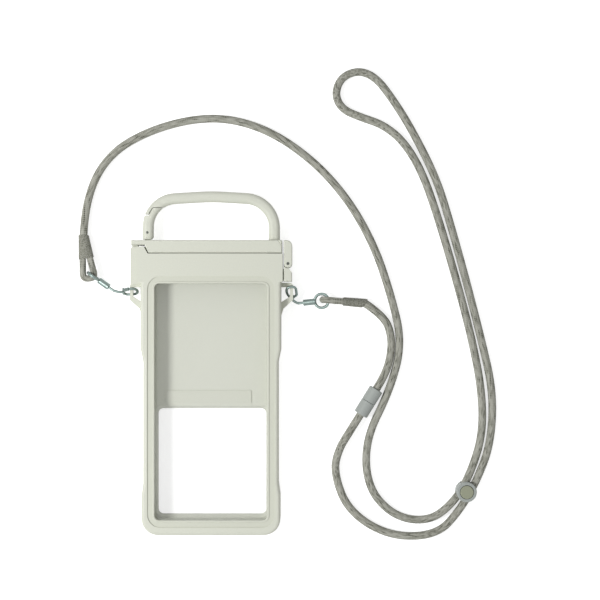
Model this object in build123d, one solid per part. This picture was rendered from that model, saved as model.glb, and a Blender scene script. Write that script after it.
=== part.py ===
"""Waterproof phone case lying on its back, with its neck lanyard spread on the same surface.

Frame: +Z up through the case's thickness, +Y towards the handle, origin on the surface under the
middle of the case's back. All sizes are in millimetres.
"""
import os
from math import atan2, cos, degrees, radians, sin, tan

from build123d import *

os.makedirs("parts", exist_ok=True)

# Phone chamber and its mouth under the lid
CHAMBER_HALF_WIDTH = 43.4
CHAMBER_PAST = 6.0
MOUTH_INSET = 3.8

# Case body, seen from the front: its middle part, its rim and foot, and the wider block at its top
CASE_THICKNESS = 20.0
BACK_WALL = 3.6
SIDE_WALL = 9.4
WAIST_INSET = 1.9
FOOT_INSET = 0.6
RIM_Y = 100.9
FOOT_Y = -110.8
WAIST_DROP = 81.4
WAIST_FOOT_RISE = 39.3
WAIST_EASE = 9.5
FOOT_CORNER_R = 12.5
EDGE_ROUND = 2.4
UPPER_LEFT_STEP = 3.3
UPPER_RIGHT_STEP = 1.1
UPPER_FOOT_GAP = 0.6
SHOULDER_RISE = 5.2
SHOULDER_RUN = 5.7
SLANT_RUN = 3.0

# Front window, from the chamber outwards: ledge, film, gasket, bezel
WINDOW_DROP = 22.5
WINDOW_FOOT_RISE = 11.4
WINDOW_R = 3.6
LEDGE_GAP = 1.0
LEDGE_THICKNESS = 1.0
FILM_THICKNESS = 0.4
FILM_LAP = 3.0
GASKET_THICKNESS = 0.6
BEZEL_WIDTH = 5.4
BEZEL_R = 10.0
BEZEL_THICKNESS = 1.6
BEZEL_SINK = 0.8
BEZEL_LIP = 1.6
BEZEL_LIP_RISE = 0.5
BEZEL_LIP_ROOT = 0.2
BEZEL_LIP_ROUND = 0.4

# Back panel, its clear lower window and the pad above it
BACK_PANEL_Z = 1.4
BACK_WINDOW_INSET = 1.2
BACK_WINDOW_FOOT_INSET = 2.2
BACK_WINDOW_HEIGHT = 80.6
BACK_WINDOW_R = 4.0
BACK_WINDOW_BEVEL = 2.0
BACK_BEZEL_WIDTH = 5.0
BACK_BEZEL_SINK = 0.2
PAD_LEFT_INSET = 7.6
PAD_RIGHT_INSET = 13.6
PAD_GAP = 4.0
PAD_HEIGHT = 9.6
PAD_THICKNESS = 0.8
PAD_R = 0.6

# Seal between the two frames
SEAL_OFFSET = 3.4
SEAL_WIDTH = 1.6
SEAL_HEIGHT = 1.6
SEAL_CORNER_R = 6.0

# Strap lugs on both shoulders
LUG_DROP = 21.9
LUG_ARM = 3.4
LUG_HOLE_HEIGHT = 11.1
LUG_HOLE_OUT_HEIGHT = 7.0
LUG_HEIGHT = 22.0
LUG_OUT_HEIGHT = 13.0
LUG_REACH = 8.9
LUG_BAR = 2.3
LUG_THICKNESS = 3.2
LUG_CORNER = 1.5
LUG_TOE_REACH = 1.6
LUG_TOE_RISE = 2.4
LUG_TOE_DROP = 3.0

# Lid with its sealing plug
LID_RISE = 10.1
LID_GAP = 0.5
LID_FACE_INSET = 0.6
LID_LEFT_REACH = 3.9
LID_RIGHT_INSET = 0.5
LID_NOSE_GAP = 1.3
LID_ROUND = 0.9
LID_GROOVE = 0.5
LID_GROOVE_RUN = 3.4
LID_GROOVE_DROP = 5.2
LID_GROOVE_PAST = 0.6
PLUG_DEPTH = 5.0
PLUG_CLEARANCE = 0.4
SEAL_CLEARANCE = 0.15
LID_SEAL_INSET = 1.0
LID_SEAL_WIDTH = 2.0
LID_SEAL_DEPTH = 1.0

# Hinge at the lid's left end
HINGE_REACH = 1.5
HINGE_DROP = 3.35
KNUCKLE_R = 2.3
KNUCKLE_NECK_INSET = 0.1
HINGE_PIN_R = 1.0
PIN_CLEARANCE = 0.05
KNUCKLE_HALF = 3.0
FORK_GAP = 0.25
SLOT_GAP = 0.4
CHEEK_OUT_Z = 1.0
CHEEK_SKIN = 1.6
STRIP_REACH = 4.2
STRIP_CORNER = 1.0
STRIP_TOP_INSET = 0.4
STRIP_LAP = 1.0

# Latch at the lid's right end
LATCH_REACH = 4.0
LATCH_LENGTH = 17.6
LATCH_R = 3.2
LATCH_NOSE_R = 4.4
LATCH_PIN_R = 1.1
LATCH_PIN_INSET = 0.2
LATCH_FACE_Z = 1.0
BRACKET_FOOT_GAP = 0.2
BRACKET_INSET = 0.2
BRACKET_RABBET = 0.7
BRACKET_BEVEL_X = 0.5
BRACKET_BEVEL_GAP = 0.1
BRACKET_BEVEL = 5.0
BRACKET_SEAT_HALF = 6.0
BRACKET_SEAT_INSET = 1.0
TONGUE_INSET = 0.4

# Handle bow, gate and post
HANDLE_LEFT_INSET = 12.1
HANDLE_RIGHT_INSET = 5.8
HANDLE_RISE = 30.6
HANDLE_CROWN_RISE = 2.8
HANDLE_LEFT_R = 21.0
HANDLE_RIGHT_R = 22.5
HANDLE_CROWN_R = 160.0
HANDLE_WIDTH = 8.4
HANDLE_DEPTH = 7.4
HANDLE_ROUND = 3.4
GATE_PIN_OUTSET = 0.4
GATE_PIN_RISE = 6.0
GATE_PIN_R = 1.0
GATE_PIN_INSET = 0.15
GATE_FOOT_GAP = 0.9
GATE_BITE = 1.9
GATE_SHELF_RISE = 19.8
GATE_NOTCH = 0.2
GATE_NOTCH_RISE = 5.2
GATE_NOTCH_RUN = 3.1
GATE_SEAM = 0.5
GATE_SHELF_GAP = 0.9
POST_HALF_WIDTH = 2.3
POST_HALF_THICKNESS = 1.5
POST_CLEARANCE = 0.35

# Lanyard hardware
HOOK_WIRE = 2.0
HOOK_HALF_WIDTH = 4.6
HOOK_LENGTH = 15.0
HOOK_NECK = 2.5
HOOK_SHOULDER = 5.0
HOOK_STEM = 4.5
HOOK_NOSE = 5.6
BARREL_R = 2.4
BARREL_LENGTH = 9.0
SWIVEL_HEAD_R = 1.6
SWIVEL_HEAD = 1.4
SWIVEL_CLEARANCE = 0.08
EYE_R = 5.3
EYE_WIRE_R = 1.1
EYE_SINK = 0.3
HOOK_BENDS = [3.5, 2.4, 1.6, 2.0]
HOOK_GATE_WIDTH = 2.4
HOOK_GATE_THICKNESS = 1.3
HOOK_GATE_PIVOT = (3.4, 1.8)
HOOK_GATE_GAP = 0.35
HOOK_GATE_PIN_R = 0.4
EAR_THICKNESS = 0.6
EAR_GAP = 0.1
EAR_DEPTH = 1.2
EAR_BRIDGE_GAP = 0.3

# How each hook lies: its tip, outwards from the case's side, up from its lug's hole and forwards
# from the lug's middle, then compass angle and rise of its loop, stem and barrel
LEFT_HOOK = {
    "side": -1, "tip": (2.4, -2.9, 0.25), "loop": (3.0, 3.0), "stem": (-16.0, 3.0),
    "barrel": (-35.0, 5.0), "tilt": 35.0, "eye_upright": True,
}
RIGHT_HOOK = {
    "side": 1, "tip": (7.1, 1.1, 3.8), "loop": (98.0, 42.0), "stem": (150.0, 8.0),
    "barrel": (186.0, -11.0), "tilt": 90.0, "eye_upright": False,
}

# Cord, its end loops and its whippings
CORD_D = 6.0
LOOP_D = 5.0
LOOP_HALF = 4.4
LOOP_LEG = 11.0
LOOP_NECK_HALF = 2.7
WHIP_WALL = 0.5
WHIP_END_D = 7.4

# Two-part safety buckle
BUCKLE_R = 5.5
BUCKLE_LENGTH = 22.6
BUCKLE_SEAM = 0.3
BUCKLE_TONGUE_R = 2.6
BUCKLE_TONGUE = 6.0
BUCKLE_ROOM = 0.6
BUCKLE_LAP = 1.0
BUCKLE_CLEARANCE = 0.05
BUCKLE_EDGE = 0.8

# Round push-button cord lock
LOCK_R = 7.6
LOCK_HEIGHT = 11.6
LOCK_FLOOR = 1.2
LOCK_EDGE = 0.9
LOCK_PASSAGE_HALF = 6.7
LOCK_PASSAGE_HEIGHT = 6.2
LOCK_ROOF = 0.6
BUTTON_R = 5.0
BUTTON_GAP = 0.35
BUTTON_TOP = 12.4
BUTTON_HEIGHT = 2.3
BUTTON_EDGE = 0.5
SPRING_R = 3.2
SPRING_WIRE = 0.4
SPRING_TURNS = 1.5
SPRING_SEAT_GAP = 0.02

# Cord routes, chosen by hand along the cord's middle, with the two runs that pass through the lock
LOCK_INNER_RUN = [(184.5, -88.0, 4.3), (197.0, -66.0, 4.3)]
LOCK_OUTER_RUN = [(202.2, -70.5, 4.3), (189.2, -93.5, 4.3)]
CORD_ROUTE = [
    (-98.0, 115.5, 3.9),
    (-97.0, 143.0, 3.1),
    (-79.0, 178.0, 3.1),
    (-42.5, 198.0, 3.1),
    (1.0, 206.5, 3.1),
    (40.0, 197.5, 3.1),
    (75.5, 174.0, 3.1),
    (103.0, 144.0, 3.1),
    (123.5, 108.0, 3.1),
    (136.5, 69.5, 3.1),
    (145.0, 33.0, 3.1),
    (135.5, -3.0, 3.1),
    (116.5, -41.0, 3.1),
    (118.5, -77.5, 3.1),
    (139.0, -99.5, 3.1),
    (165.5, -103.0, 3.2),
    *LOCK_INNER_RUN,
    (206.5, -36.0, 3.1),
    (205.5, -1.5, 3.1),
    (197.8, 37.5, 3.1),
    (186.2, 81.5, 3.1),
    (173.5, 125.0, 3.1),
    (161.0, 162.0, 3.1),
    (147.0, 186.0, 3.1),
    (131.0, 199.5, 3.1),
    (113.0, 205.5, 3.1),
    (99.0, 211.5, 3.1),
    (93.4, 223.0, 3.1),
    (98.4, 236.0, 3.1),
    (111.5, 241.3, 3.1),
    (125.0, 235.8, 3.1),
    (137.5, 219.5, 3.1),
    (152.0, 196.5, 3.1),
    (171.0, 159.0, 3.1),
    (181.6, 124.5, 3.1),
    (193.6, 81.3, 3.1),
    (204.8, 37.8, 3.1),
    (214.5, -4.0, 3.1),
    (212.5, -43.5, 3.2),
    *LOCK_OUTER_RUN,
    (171.5, -113.5, 3.2),
    (135.0, -114.5, 3.1),
    (103.5, -95.0, 3.1),
    (92.5, -65.0, 3.1),
    (96.5, -47.5, 4.0),
    (105.5, -33.0, 5.6),
    (113.0, -21.0, 5.6),
]
SHORT_ROUTE = [
    (125.0, -1.8, 5.6),
    (131.5, 8.6, 5.6),
    (136.0, 22.5, 4.0),
    (137.0, 38.0, 3.1),
    (131.5, 53.5, 3.2),
    (116.5, 63.5, 3.9),
]
TURN_SHARE = 0.45


def block(x0, x1, y0, y1, z0, z1):
    """A plain block between the named limits."""
    middle = ((x0 + x1) / 2, (y0 + y1) / 2, (z0 + z1) / 2)
    return Pos(*middle) * Box(x1 - x0, y1 - y0, z1 - z0)


def plate(x0, x1, y0, y1, z0, z1, radius):
    """A block with four rounded upright corners."""
    outline = Pos((x0 + x1) / 2, (y0 + y1) / 2, z0) * RectangleRounded(x1 - x0, y1 - y0, radius)
    return extrude(outline, z1 - z0)


def slab(points, z0, z1):
    """A polygon drawn in the XY plane, raised from z0 to z1."""
    return extrude(Pos(0, 0, z0) * make_face(Polyline(*points, close=True)), z1 - z0)


def disc(x, y, z0, z1, radius):
    """An upright round bar."""
    return Pos(x, y, (z0 + z1) / 2) * Cylinder(radius, z1 - z0)


def tube(path, radius):
    """A round wire or cord along a path."""
    start = Plane(origin=path @ 0, z_dir=path % 0)
    return sweep(start * Circle(radius), path)


def mirrored(points):
    """The points reflected in the case's middle plane, in the same order round the outline."""
    return [(-x, y) for x, y in reversed(points)]


# Places worked out from the sizes above, across the case
TOP_HALF_WIDTH = CHAMBER_HALF_WIDTH + SIDE_WALL
WAIST_HALF_WIDTH = TOP_HALF_WIDTH - WAIST_INSET
FOOT_HALF_WIDTH = TOP_HALF_WIDTH - FOOT_INSET
WINDOW_HALF_WIDTH = CHAMBER_HALF_WIDTH - LEDGE_GAP
BACK_WINDOW_HALF_WIDTH = WINDOW_HALF_WIDTH - BACK_WINDOW_INSET
BEZEL_OUT_X = WINDOW_HALF_WIDTH + BEZEL_WIDTH
MOUTH_LEFT_X = MOUTH_INSET - CHAMBER_HALF_WIDTH
PAD_X0 = PAD_LEFT_INSET - CHAMBER_HALF_WIDTH
PAD_X1 = CHAMBER_HALF_WIDTH - PAD_RIGHT_INSET
UPPER_LEFT_X = -TOP_HALF_WIDTH - UPPER_LEFT_STEP
UPPER_RIGHT_X = TOP_HALF_WIDTH + UPPER_RIGHT_STEP
SHOULDER_X = UPPER_LEFT_X + SHOULDER_RUN
SLANT_X = SHOULDER_X + SLANT_RUN
STRIP_OUT_X = UPPER_LEFT_X - STRIP_REACH
HINGE_X = UPPER_LEFT_X - HINGE_REACH
LID_LEFT_X = UPPER_LEFT_X - LID_LEFT_REACH
LID_RIGHT_X = UPPER_RIGHT_X - LID_RIGHT_INSET
LATCH_X = UPPER_RIGHT_X + LATCH_REACH
HANDLE_LEFT_X = LID_LEFT_X + HANDLE_LEFT_INSET
HANDLE_RIGHT_X = LID_RIGHT_X - HANDLE_RIGHT_INSET
GATE_PIN_X = HANDLE_LEFT_X - GATE_PIN_OUTSET
GATE_NOTCH_X = HANDLE_LEFT_X + GATE_NOTCH

# Places along the case
WAIST_TOP_Y = RIM_Y - WAIST_DROP
WAIST_FOOT_Y = FOOT_Y + WAIST_FOOT_RISE
WINDOW_TOP_Y = RIM_Y - WINDOW_DROP
WINDOW_FOOT_Y = FOOT_Y + WINDOW_FOOT_RISE
BEZEL_TOP_Y = WINDOW_TOP_Y + BEZEL_WIDTH
BEZEL_FOOT_Y = WINDOW_FOOT_Y - BEZEL_WIDTH
CHAMBER_FOOT_Y = WINDOW_FOOT_Y - LEDGE_GAP
BACK_WINDOW_FOOT_Y = WINDOW_FOOT_Y + BACK_WINDOW_FOOT_INSET
BACK_WINDOW_TOP_Y = BACK_WINDOW_FOOT_Y + BACK_WINDOW_HEIGHT
PAD_Y0 = BACK_WINDOW_TOP_Y + PAD_GAP
PAD_Y1 = PAD_Y0 + PAD_HEIGHT
LUG_TOP_Y = RIM_Y - LUG_DROP
LUG_HOLE_TOP_Y = LUG_TOP_Y - LUG_ARM
UPPER_FOOT_Y = LUG_TOP_Y + UPPER_FOOT_GAP
SHOULDER_Y = RIM_Y + SHOULDER_RISE
HINGE_Y = SHOULDER_Y - HINGE_DROP
LID_NOSE_UNDERSIDE_Y = SHOULDER_Y + LID_NOSE_GAP
LID_TOP_Y = RIM_Y + LID_RISE
LATCH_Y = LID_TOP_Y - LATCH_LENGTH
BRACKET_FOOT_Y = UPPER_FOOT_Y + BRACKET_FOOT_GAP
HANDLE_CORNER_Y = LID_TOP_Y + HANDLE_RISE
HANDLE_CROWN_Y = HANDLE_CORNER_Y + HANDLE_CROWN_RISE
GATE_PIN_Y = LID_TOP_Y + GATE_PIN_RISE
GATE_SHELF_Y = LID_TOP_Y + GATE_SHELF_RISE
GATE_NOTCH_TOP_Y = GATE_SHELF_Y + GATE_NOTCH_RISE

# Places through the case's thickness
MID_Z = CASE_THICKNESS / 2
BEZEL_Z = CASE_THICKNESS - BEZEL_SINK - BEZEL_THICKNESS
GASKET_Z = BEZEL_Z - GASKET_THICKNESS
FILM_Z = GASKET_Z - FILM_THICKNESS
CHAMBER_Z1 = FILM_Z - LEDGE_THICKNESS
LUG_Z0 = MID_Z - LUG_THICKNESS / 2
LUG_Z1 = MID_Z + LUG_THICKNESS / 2
FORK_Z0 = MID_Z - KNUCKLE_HALF - FORK_GAP
FORK_Z1 = MID_Z + KNUCKLE_HALF + FORK_GAP


def body_blank(z0, z1, rounded_z):
    """The case's outline as a solid, with its outer edge rounded where it meets the face at rounded_z."""
    right = [
        (FOOT_HALF_WIDTH, FOOT_Y),
        (FOOT_HALF_WIDTH, WAIST_FOOT_Y - WAIST_EASE),
        (WAIST_HALF_WIDTH, WAIST_FOOT_Y),
        (WAIST_HALF_WIDTH, WAIST_TOP_Y),
        (TOP_HALF_WIDTH, WAIST_TOP_Y + WAIST_EASE),
    ]
    crown = [
        (TOP_HALF_WIDTH, RIM_Y), (SLANT_X, RIM_Y),
        (SHOULDER_X, SHOULDER_Y), (-TOP_HALF_WIDTH, SHOULDER_Y),
    ]
    blank = slab(right + crown + mirrored(right), z0, z1)
    corners = blank.edges().filter_by(Axis.Z).filter_by(lambda e: abs(e.center().Y - FOOT_Y) < 1)
    blank = fillet(corners, FOOT_CORNER_R)
    face_edges = blank.edges().filter_by(lambda e: abs(e.center().Z - rounded_z) < 0.01)
    outer = face_edges.filter_by(lambda e: e.center().Y < RIM_Y - 1)
    body = fillet(outer, EDGE_ROUND)
    inner = TOP_HALF_WIDTH - EDGE_ROUND
    body += block(inner, UPPER_RIGHT_X, UPPER_FOOT_Y, RIM_Y, z0, z1)
    return body + block(UPPER_LEFT_X, -inner, UPPER_FOOT_Y, SHOULDER_Y, z0, z1)


def lug(side, z0, z1):
    """One strap lug, a triangular loop on the case's shoulder."""
    inner = TOP_HALF_WIDTH - EDGE_ROUND
    outer = TOP_HALF_WIDTH + LUG_REACH
    foot = LUG_TOP_Y - LUG_HEIGHT
    loop = [
        (side * inner, LUG_TOP_Y),
        (side * (outer - LUG_CORNER), LUG_TOP_Y),
        (side * outer, LUG_TOP_Y - LUG_CORNER),
        (side * outer, LUG_TOP_Y - LUG_OUT_HEIGHT),
        (side * (TOP_HALF_WIDTH + LUG_TOE_REACH), foot + LUG_TOE_RISE),
        (side * TOP_HALF_WIDTH, foot - LUG_TOE_DROP),
        (side * inner, foot - LUG_TOE_DROP),
    ]
    hole = [
        (side * TOP_HALF_WIDTH, LUG_HOLE_TOP_Y),
        (side * (outer - LUG_BAR), LUG_HOLE_TOP_Y),
        (side * (outer - LUG_BAR), LUG_HOLE_TOP_Y - LUG_HOLE_OUT_HEIGHT),
        (side * TOP_HALF_WIDTH, LUG_HOLE_TOP_Y - LUG_HOLE_HEIGHT),
    ]
    return slab(loop, z0, z1) - slab(hole, z0 - 1, z1 + 1)


def hinge_strip(z0, z1):
    """The strip on the left shoulder whose upper end is one cheek of the lid's hinge."""
    top = SHOULDER_Y - STRIP_TOP_INSET
    foot = LUG_TOP_Y - STRIP_LAP
    outline = [
        (-TOP_HALF_WIDTH + EDGE_ROUND, top),
        (STRIP_OUT_X + STRIP_CORNER, top),
        (STRIP_OUT_X, top - STRIP_CORNER),
        (STRIP_OUT_X, foot),
        (-TOP_HALF_WIDTH + EDGE_ROUND, foot),
    ]
    return slab(outline, z0, z1)


def hinge_slot():
    """The room between the cheeks in which the lid's knuckle turns."""
    foot = HINGE_Y - KNUCKLE_R - SLOT_GAP
    inner = HINGE_X + KNUCKLE_R + SLOT_GAP
    return block(STRIP_OUT_X - 1, inner, foot, SHOULDER_Y + 1, FORK_Z0, FORK_Z1)


def frame_seal():
    """The rubber seal that runs round three sides of the chamber, between the two frames."""
    out = CHAMBER_HALF_WIDTH + SEAL_OFFSET
    foot = CHAMBER_FOOT_Y - SEAL_OFFSET
    top = RIM_Y - SHOULDER_RISE
    z0 = MID_Z - SEAL_HEIGHT / 2
    z1 = MID_Z + SEAL_HEIGHT / 2
    past = top + 2 * SEAL_CORNER_R
    ring = plate(-out, out, foot, past, z0, z1, SEAL_CORNER_R)
    inner = out - SEAL_WIDTH
    inside = plate(-inner, inner, foot + SEAL_WIDTH, past, z0 - 1, z1 + 1, SEAL_CORNER_R - SEAL_WIDTH)
    return ring - inside - block(-out - 1, out + 1, top, past + 1, z0 - 1, z1 + 1)


def chamber():
    """The room for the phone, open at the rim."""
    low = block(
        -CHAMBER_HALF_WIDTH, CHAMBER_HALF_WIDTH,
        CHAMBER_FOOT_Y, WINDOW_TOP_Y + CHAMBER_PAST,
        BACK_WALL, CHAMBER_Z1,
    )
    neck = block(MOUTH_LEFT_X, CHAMBER_HALF_WIDTH, WINDOW_TOP_Y, SHOULDER_Y + 2, BACK_WALL, CHAMBER_Z1)
    return low + neck


def front_frame():
    """The front half of the shell, with the seats of the film, gasket and bezel."""
    body = body_blank(MID_Z, CASE_THICKNESS, CASE_THICKNESS)
    body += hinge_strip(MID_Z, CASE_THICKNESS - CHEEK_OUT_Z)
    body += lug(1, MID_Z, LUG_Z1) + lug(-1, MID_Z, LUG_Z1)
    gap = LEDGE_GAP
    opening = plate(
        -WINDOW_HALF_WIDTH - gap, WINDOW_HALF_WIDTH + gap, WINDOW_FOOT_Y - gap, WINDOW_TOP_Y + gap,
        CHAMBER_Z1 - 1, CASE_THICKNESS + 1, WINDOW_R,
    )
    film_seat = plate(
        -WINDOW_HALF_WIDTH - FILM_LAP, WINDOW_HALF_WIDTH + FILM_LAP,
        WINDOW_FOOT_Y - FILM_LAP, WINDOW_TOP_Y + FILM_LAP, FILM_Z, CASE_THICKNESS + 1, WINDOW_R + FILM_LAP,
    )
    bezel_seat = plate(
        -BEZEL_OUT_X, BEZEL_OUT_X, BEZEL_FOOT_Y, BEZEL_TOP_Y, BEZEL_Z, CASE_THICKNESS + 1, BEZEL_R
    )
    body -= chamber() + opening + film_seat + bezel_seat + frame_seal() + hinge_slot()
    pin_top = CASE_THICKNESS - CHEEK_OUT_Z - CHEEK_SKIN
    return body - disc(HINGE_X, HINGE_Y, MID_Z, pin_top, HINGE_PIN_R)


def back_opening(grow, z0, z1):
    """The back window's outline, grown by an amount, as a cutter."""
    return plate(
        -BACK_WINDOW_HALF_WIDTH - grow, BACK_WINDOW_HALF_WIDTH + grow,
        BACK_WINDOW_FOOT_Y - grow, BACK_WINDOW_TOP_Y + grow, z0, z1, BACK_WINDOW_R + grow,
    )


def back_frame():
    """The back half of the shell, with the solid upper panel and the bevelled lower window."""
    body = body_blank(0, MID_Z, 0)
    body += hinge_strip(CHEEK_OUT_Z, MID_Z)
    body += lug(1, LUG_Z0, MID_Z) + lug(-1, LUG_Z0, MID_Z)
    body -= chamber() + frame_seal() + hinge_slot()
    wide = Pos(0, 0, BACK_WALL) * back_face(BACK_WINDOW_BEVEL)
    narrow = Pos(0, 0, BACK_PANEL_Z) * back_face(0)
    body -= loft([narrow, wide])
    body -= back_opening(BACK_BEZEL_WIDTH, -1, BACK_PANEL_Z)
    return body - disc(HINGE_X, HINGE_Y, CHEEK_OUT_Z - 1, MID_Z, HINGE_PIN_R)


def back_face(grow):
    """The back window's outline as a face."""
    width = 2 * (BACK_WINDOW_HALF_WIDTH + grow)
    height = BACK_WINDOW_TOP_Y - BACK_WINDOW_FOOT_Y + 2 * grow
    middle = (BACK_WINDOW_TOP_Y + BACK_WINDOW_FOOT_Y) / 2
    return Pos(0, middle, 0) * RectangleRounded(width, height, BACK_WINDOW_R + grow)


def back_window():
    """The clear film behind the back window."""
    return back_opening(BACK_BEZEL_WIDTH, BACK_PANEL_Z - FILM_THICKNESS, BACK_PANEL_Z)


def back_bezel():
    """The ring that holds the back film."""
    top = BACK_PANEL_Z - FILM_THICKNESS
    return back_opening(BACK_BEZEL_WIDTH, BACK_BEZEL_SINK, top) - back_opening(0, -1, top + 1)


def back_pad():
    """The raised rectangular pad on the inside of the back panel."""
    return plate(PAD_X0, PAD_X1, PAD_Y0, PAD_Y1, BACK_WALL, BACK_WALL + PAD_THICKNESS, PAD_R)


def front_ring(lap, z0, z1, radius):
    """A ring round the front window, as wide as lap."""
    outer = plate(
        -WINDOW_HALF_WIDTH - lap, WINDOW_HALF_WIDTH + lap, WINDOW_FOOT_Y - lap, WINDOW_TOP_Y + lap,
        z0, z1, radius,
    )
    inner = plate(
        -WINDOW_HALF_WIDTH, WINDOW_HALF_WIDTH, WINDOW_FOOT_Y, WINDOW_TOP_Y, z0 - 1, z1 + 1, WINDOW_R
    )
    return outer - inner


def front_window():
    """The clear touch film over the chamber."""
    return plate(
        -WINDOW_HALF_WIDTH - FILM_LAP, WINDOW_HALF_WIDTH + FILM_LAP,
        WINDOW_FOOT_Y - FILM_LAP, WINDOW_TOP_Y + FILM_LAP, FILM_Z, GASKET_Z, WINDOW_R + FILM_LAP,
    )


def front_bezel():
    """The sunk ring round the front window, with a low lip at its inner edge."""
    top = CASE_THICKNESS - BEZEL_SINK
    ring = front_ring(BEZEL_WIDTH, BEZEL_Z, top, BEZEL_R)
    lip = front_ring(BEZEL_LIP, top - BEZEL_LIP_ROOT, top + BEZEL_LIP_RISE, WINDOW_R + BEZEL_LIP)
    lip_top = lip.faces().sort_by(Axis.Z)[-1]
    return ring + fillet(lip_top.edges(), BEZEL_LIP_ROUND)


def lid():
    """The lid bar, its sealing plug, its hinge knuckle and the post that carries the handle's gate."""
    low = LID_FACE_INSET
    high = CASE_THICKNESS - LID_FACE_INSET
    foot = RIM_Y + LID_GAP
    outline = [
        (LID_LEFT_X, LID_TOP_Y),
        (LID_LEFT_X, LID_NOSE_UNDERSIDE_Y),
        (SHOULDER_X + LID_GAP, LID_NOSE_UNDERSIDE_Y),
        (SLANT_X + LID_GAP, foot),
        (LID_RIGHT_X, foot),
        (LID_RIGHT_X, LID_TOP_Y),
    ]
    bar = slab(outline, low, high)
    bar = fillet(bar.faces().filter_by(Axis.Z).edges(), LID_ROUND)
    groove_start = (LID_RIGHT_X - LID_GROOVE_RUN, LID_TOP_Y + 1, high)
    groove_end = (LID_RIGHT_X + LID_GROOVE_PAST, LID_TOP_Y - LID_GROOVE_DROP, high)
    bar -= tube(Line(groove_start, groove_end), LID_GROOVE)
    clear = PLUG_CLEARANCE
    plug = block(
        MOUTH_LEFT_X + clear, CHAMBER_HALF_WIDTH - clear, foot - PLUG_DEPTH, foot + 1,
        BACK_WALL + clear, CHAMBER_Z1 - clear,
    )
    plug -= lid_seal()
    knuckle = disc(HINGE_X, HINGE_Y, MID_Z - KNUCKLE_HALF, MID_Z + KNUCKLE_HALF, KNUCKLE_R)
    knuckle += block(
        HINGE_X - KNUCKLE_R, HINGE_X + KNUCKLE_R - KNUCKLE_NECK_INSET, HINGE_Y, LID_NOSE_UNDERSIDE_Y + 1,
        MID_Z - KNUCKLE_HALF, MID_Z + KNUCKLE_HALF,
    )
    knuckle -= disc(HINGE_X, HINGE_Y, 0, CASE_THICKNESS, HINGE_PIN_R + PIN_CLEARANCE)
    return bar + plug + knuckle + gate_post()


def gate_post():
    """The upright tongue on the lid that the handle's gate turns on."""
    z0 = MID_Z - POST_HALF_THICKNESS
    z1 = MID_Z + POST_HALF_THICKNESS
    left = GATE_PIN_X - POST_HALF_WIDTH
    right = GATE_PIN_X + POST_HALF_WIDTH
    post = block(left, right, LID_TOP_Y - 1, GATE_PIN_Y, z0, z1)
    post += disc(GATE_PIN_X, GATE_PIN_Y, z0, z1, POST_HALF_WIDTH)
    return post - disc(GATE_PIN_X, GATE_PIN_Y, z0 - 1, z1 + 1, GATE_PIN_R + PIN_CLEARANCE)


def lid_seal():
    """The rubber ring in the plug's groove."""
    high_y = RIM_Y + LID_GAP - LID_SEAL_INSET
    low_y = high_y - LID_SEAL_WIDTH
    gap = SEAL_CLEARANCE
    outer = block(
        MOUTH_LEFT_X + gap, CHAMBER_HALF_WIDTH - gap, low_y, high_y, BACK_WALL + gap, CHAMBER_Z1 - gap
    )
    inset = PLUG_CLEARANCE + LID_SEAL_DEPTH
    core = block(
        MOUTH_LEFT_X + inset, CHAMBER_HALF_WIDTH - inset, low_y - 1, high_y + 1,
        BACK_WALL + inset, CHAMBER_Z1 - inset,
    )
    return outer - core


def hinge_pin():
    """The hidden pin of the lid's hinge."""
    top = CASE_THICKNESS - CHEEK_OUT_Z - CHEEK_SKIN
    return disc(HINGE_X, HINGE_Y, CHEEK_OUT_Z, top, HINGE_PIN_R)


def latch_lever():
    """The lever at the lid's right end, forked round the bracket's tongue."""
    left = LATCH_X - LATCH_R
    right = LATCH_X + LATCH_R
    body = block(left, right, LATCH_Y, LID_TOP_Y, LATCH_FACE_Z, CASE_THICKNESS - LATCH_FACE_Z)
    body += disc(LATCH_X, LATCH_Y, LATCH_FACE_Z, CASE_THICKNESS - LATCH_FACE_Z, LATCH_R)
    corner = body.edges().filter_by(Axis.Z).filter_by(
        lambda e: e.center().Y > LATCH_Y + LATCH_R and e.center().X > LATCH_X
    )
    body = fillet(corner, LATCH_NOSE_R)
    body = fillet(body.faces().filter_by(Axis.Z).edges(), LID_ROUND)
    slot = block(
        left - 1, right + 1, LATCH_Y - LATCH_R - 1, LATCH_Y + LATCH_R + FORK_GAP * 2, FORK_Z0, FORK_Z1
    )
    return body - slot - disc(LATCH_X, LATCH_Y, 0, CASE_THICKNESS, LATCH_PIN_R + PIN_CLEARANCE)


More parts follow.
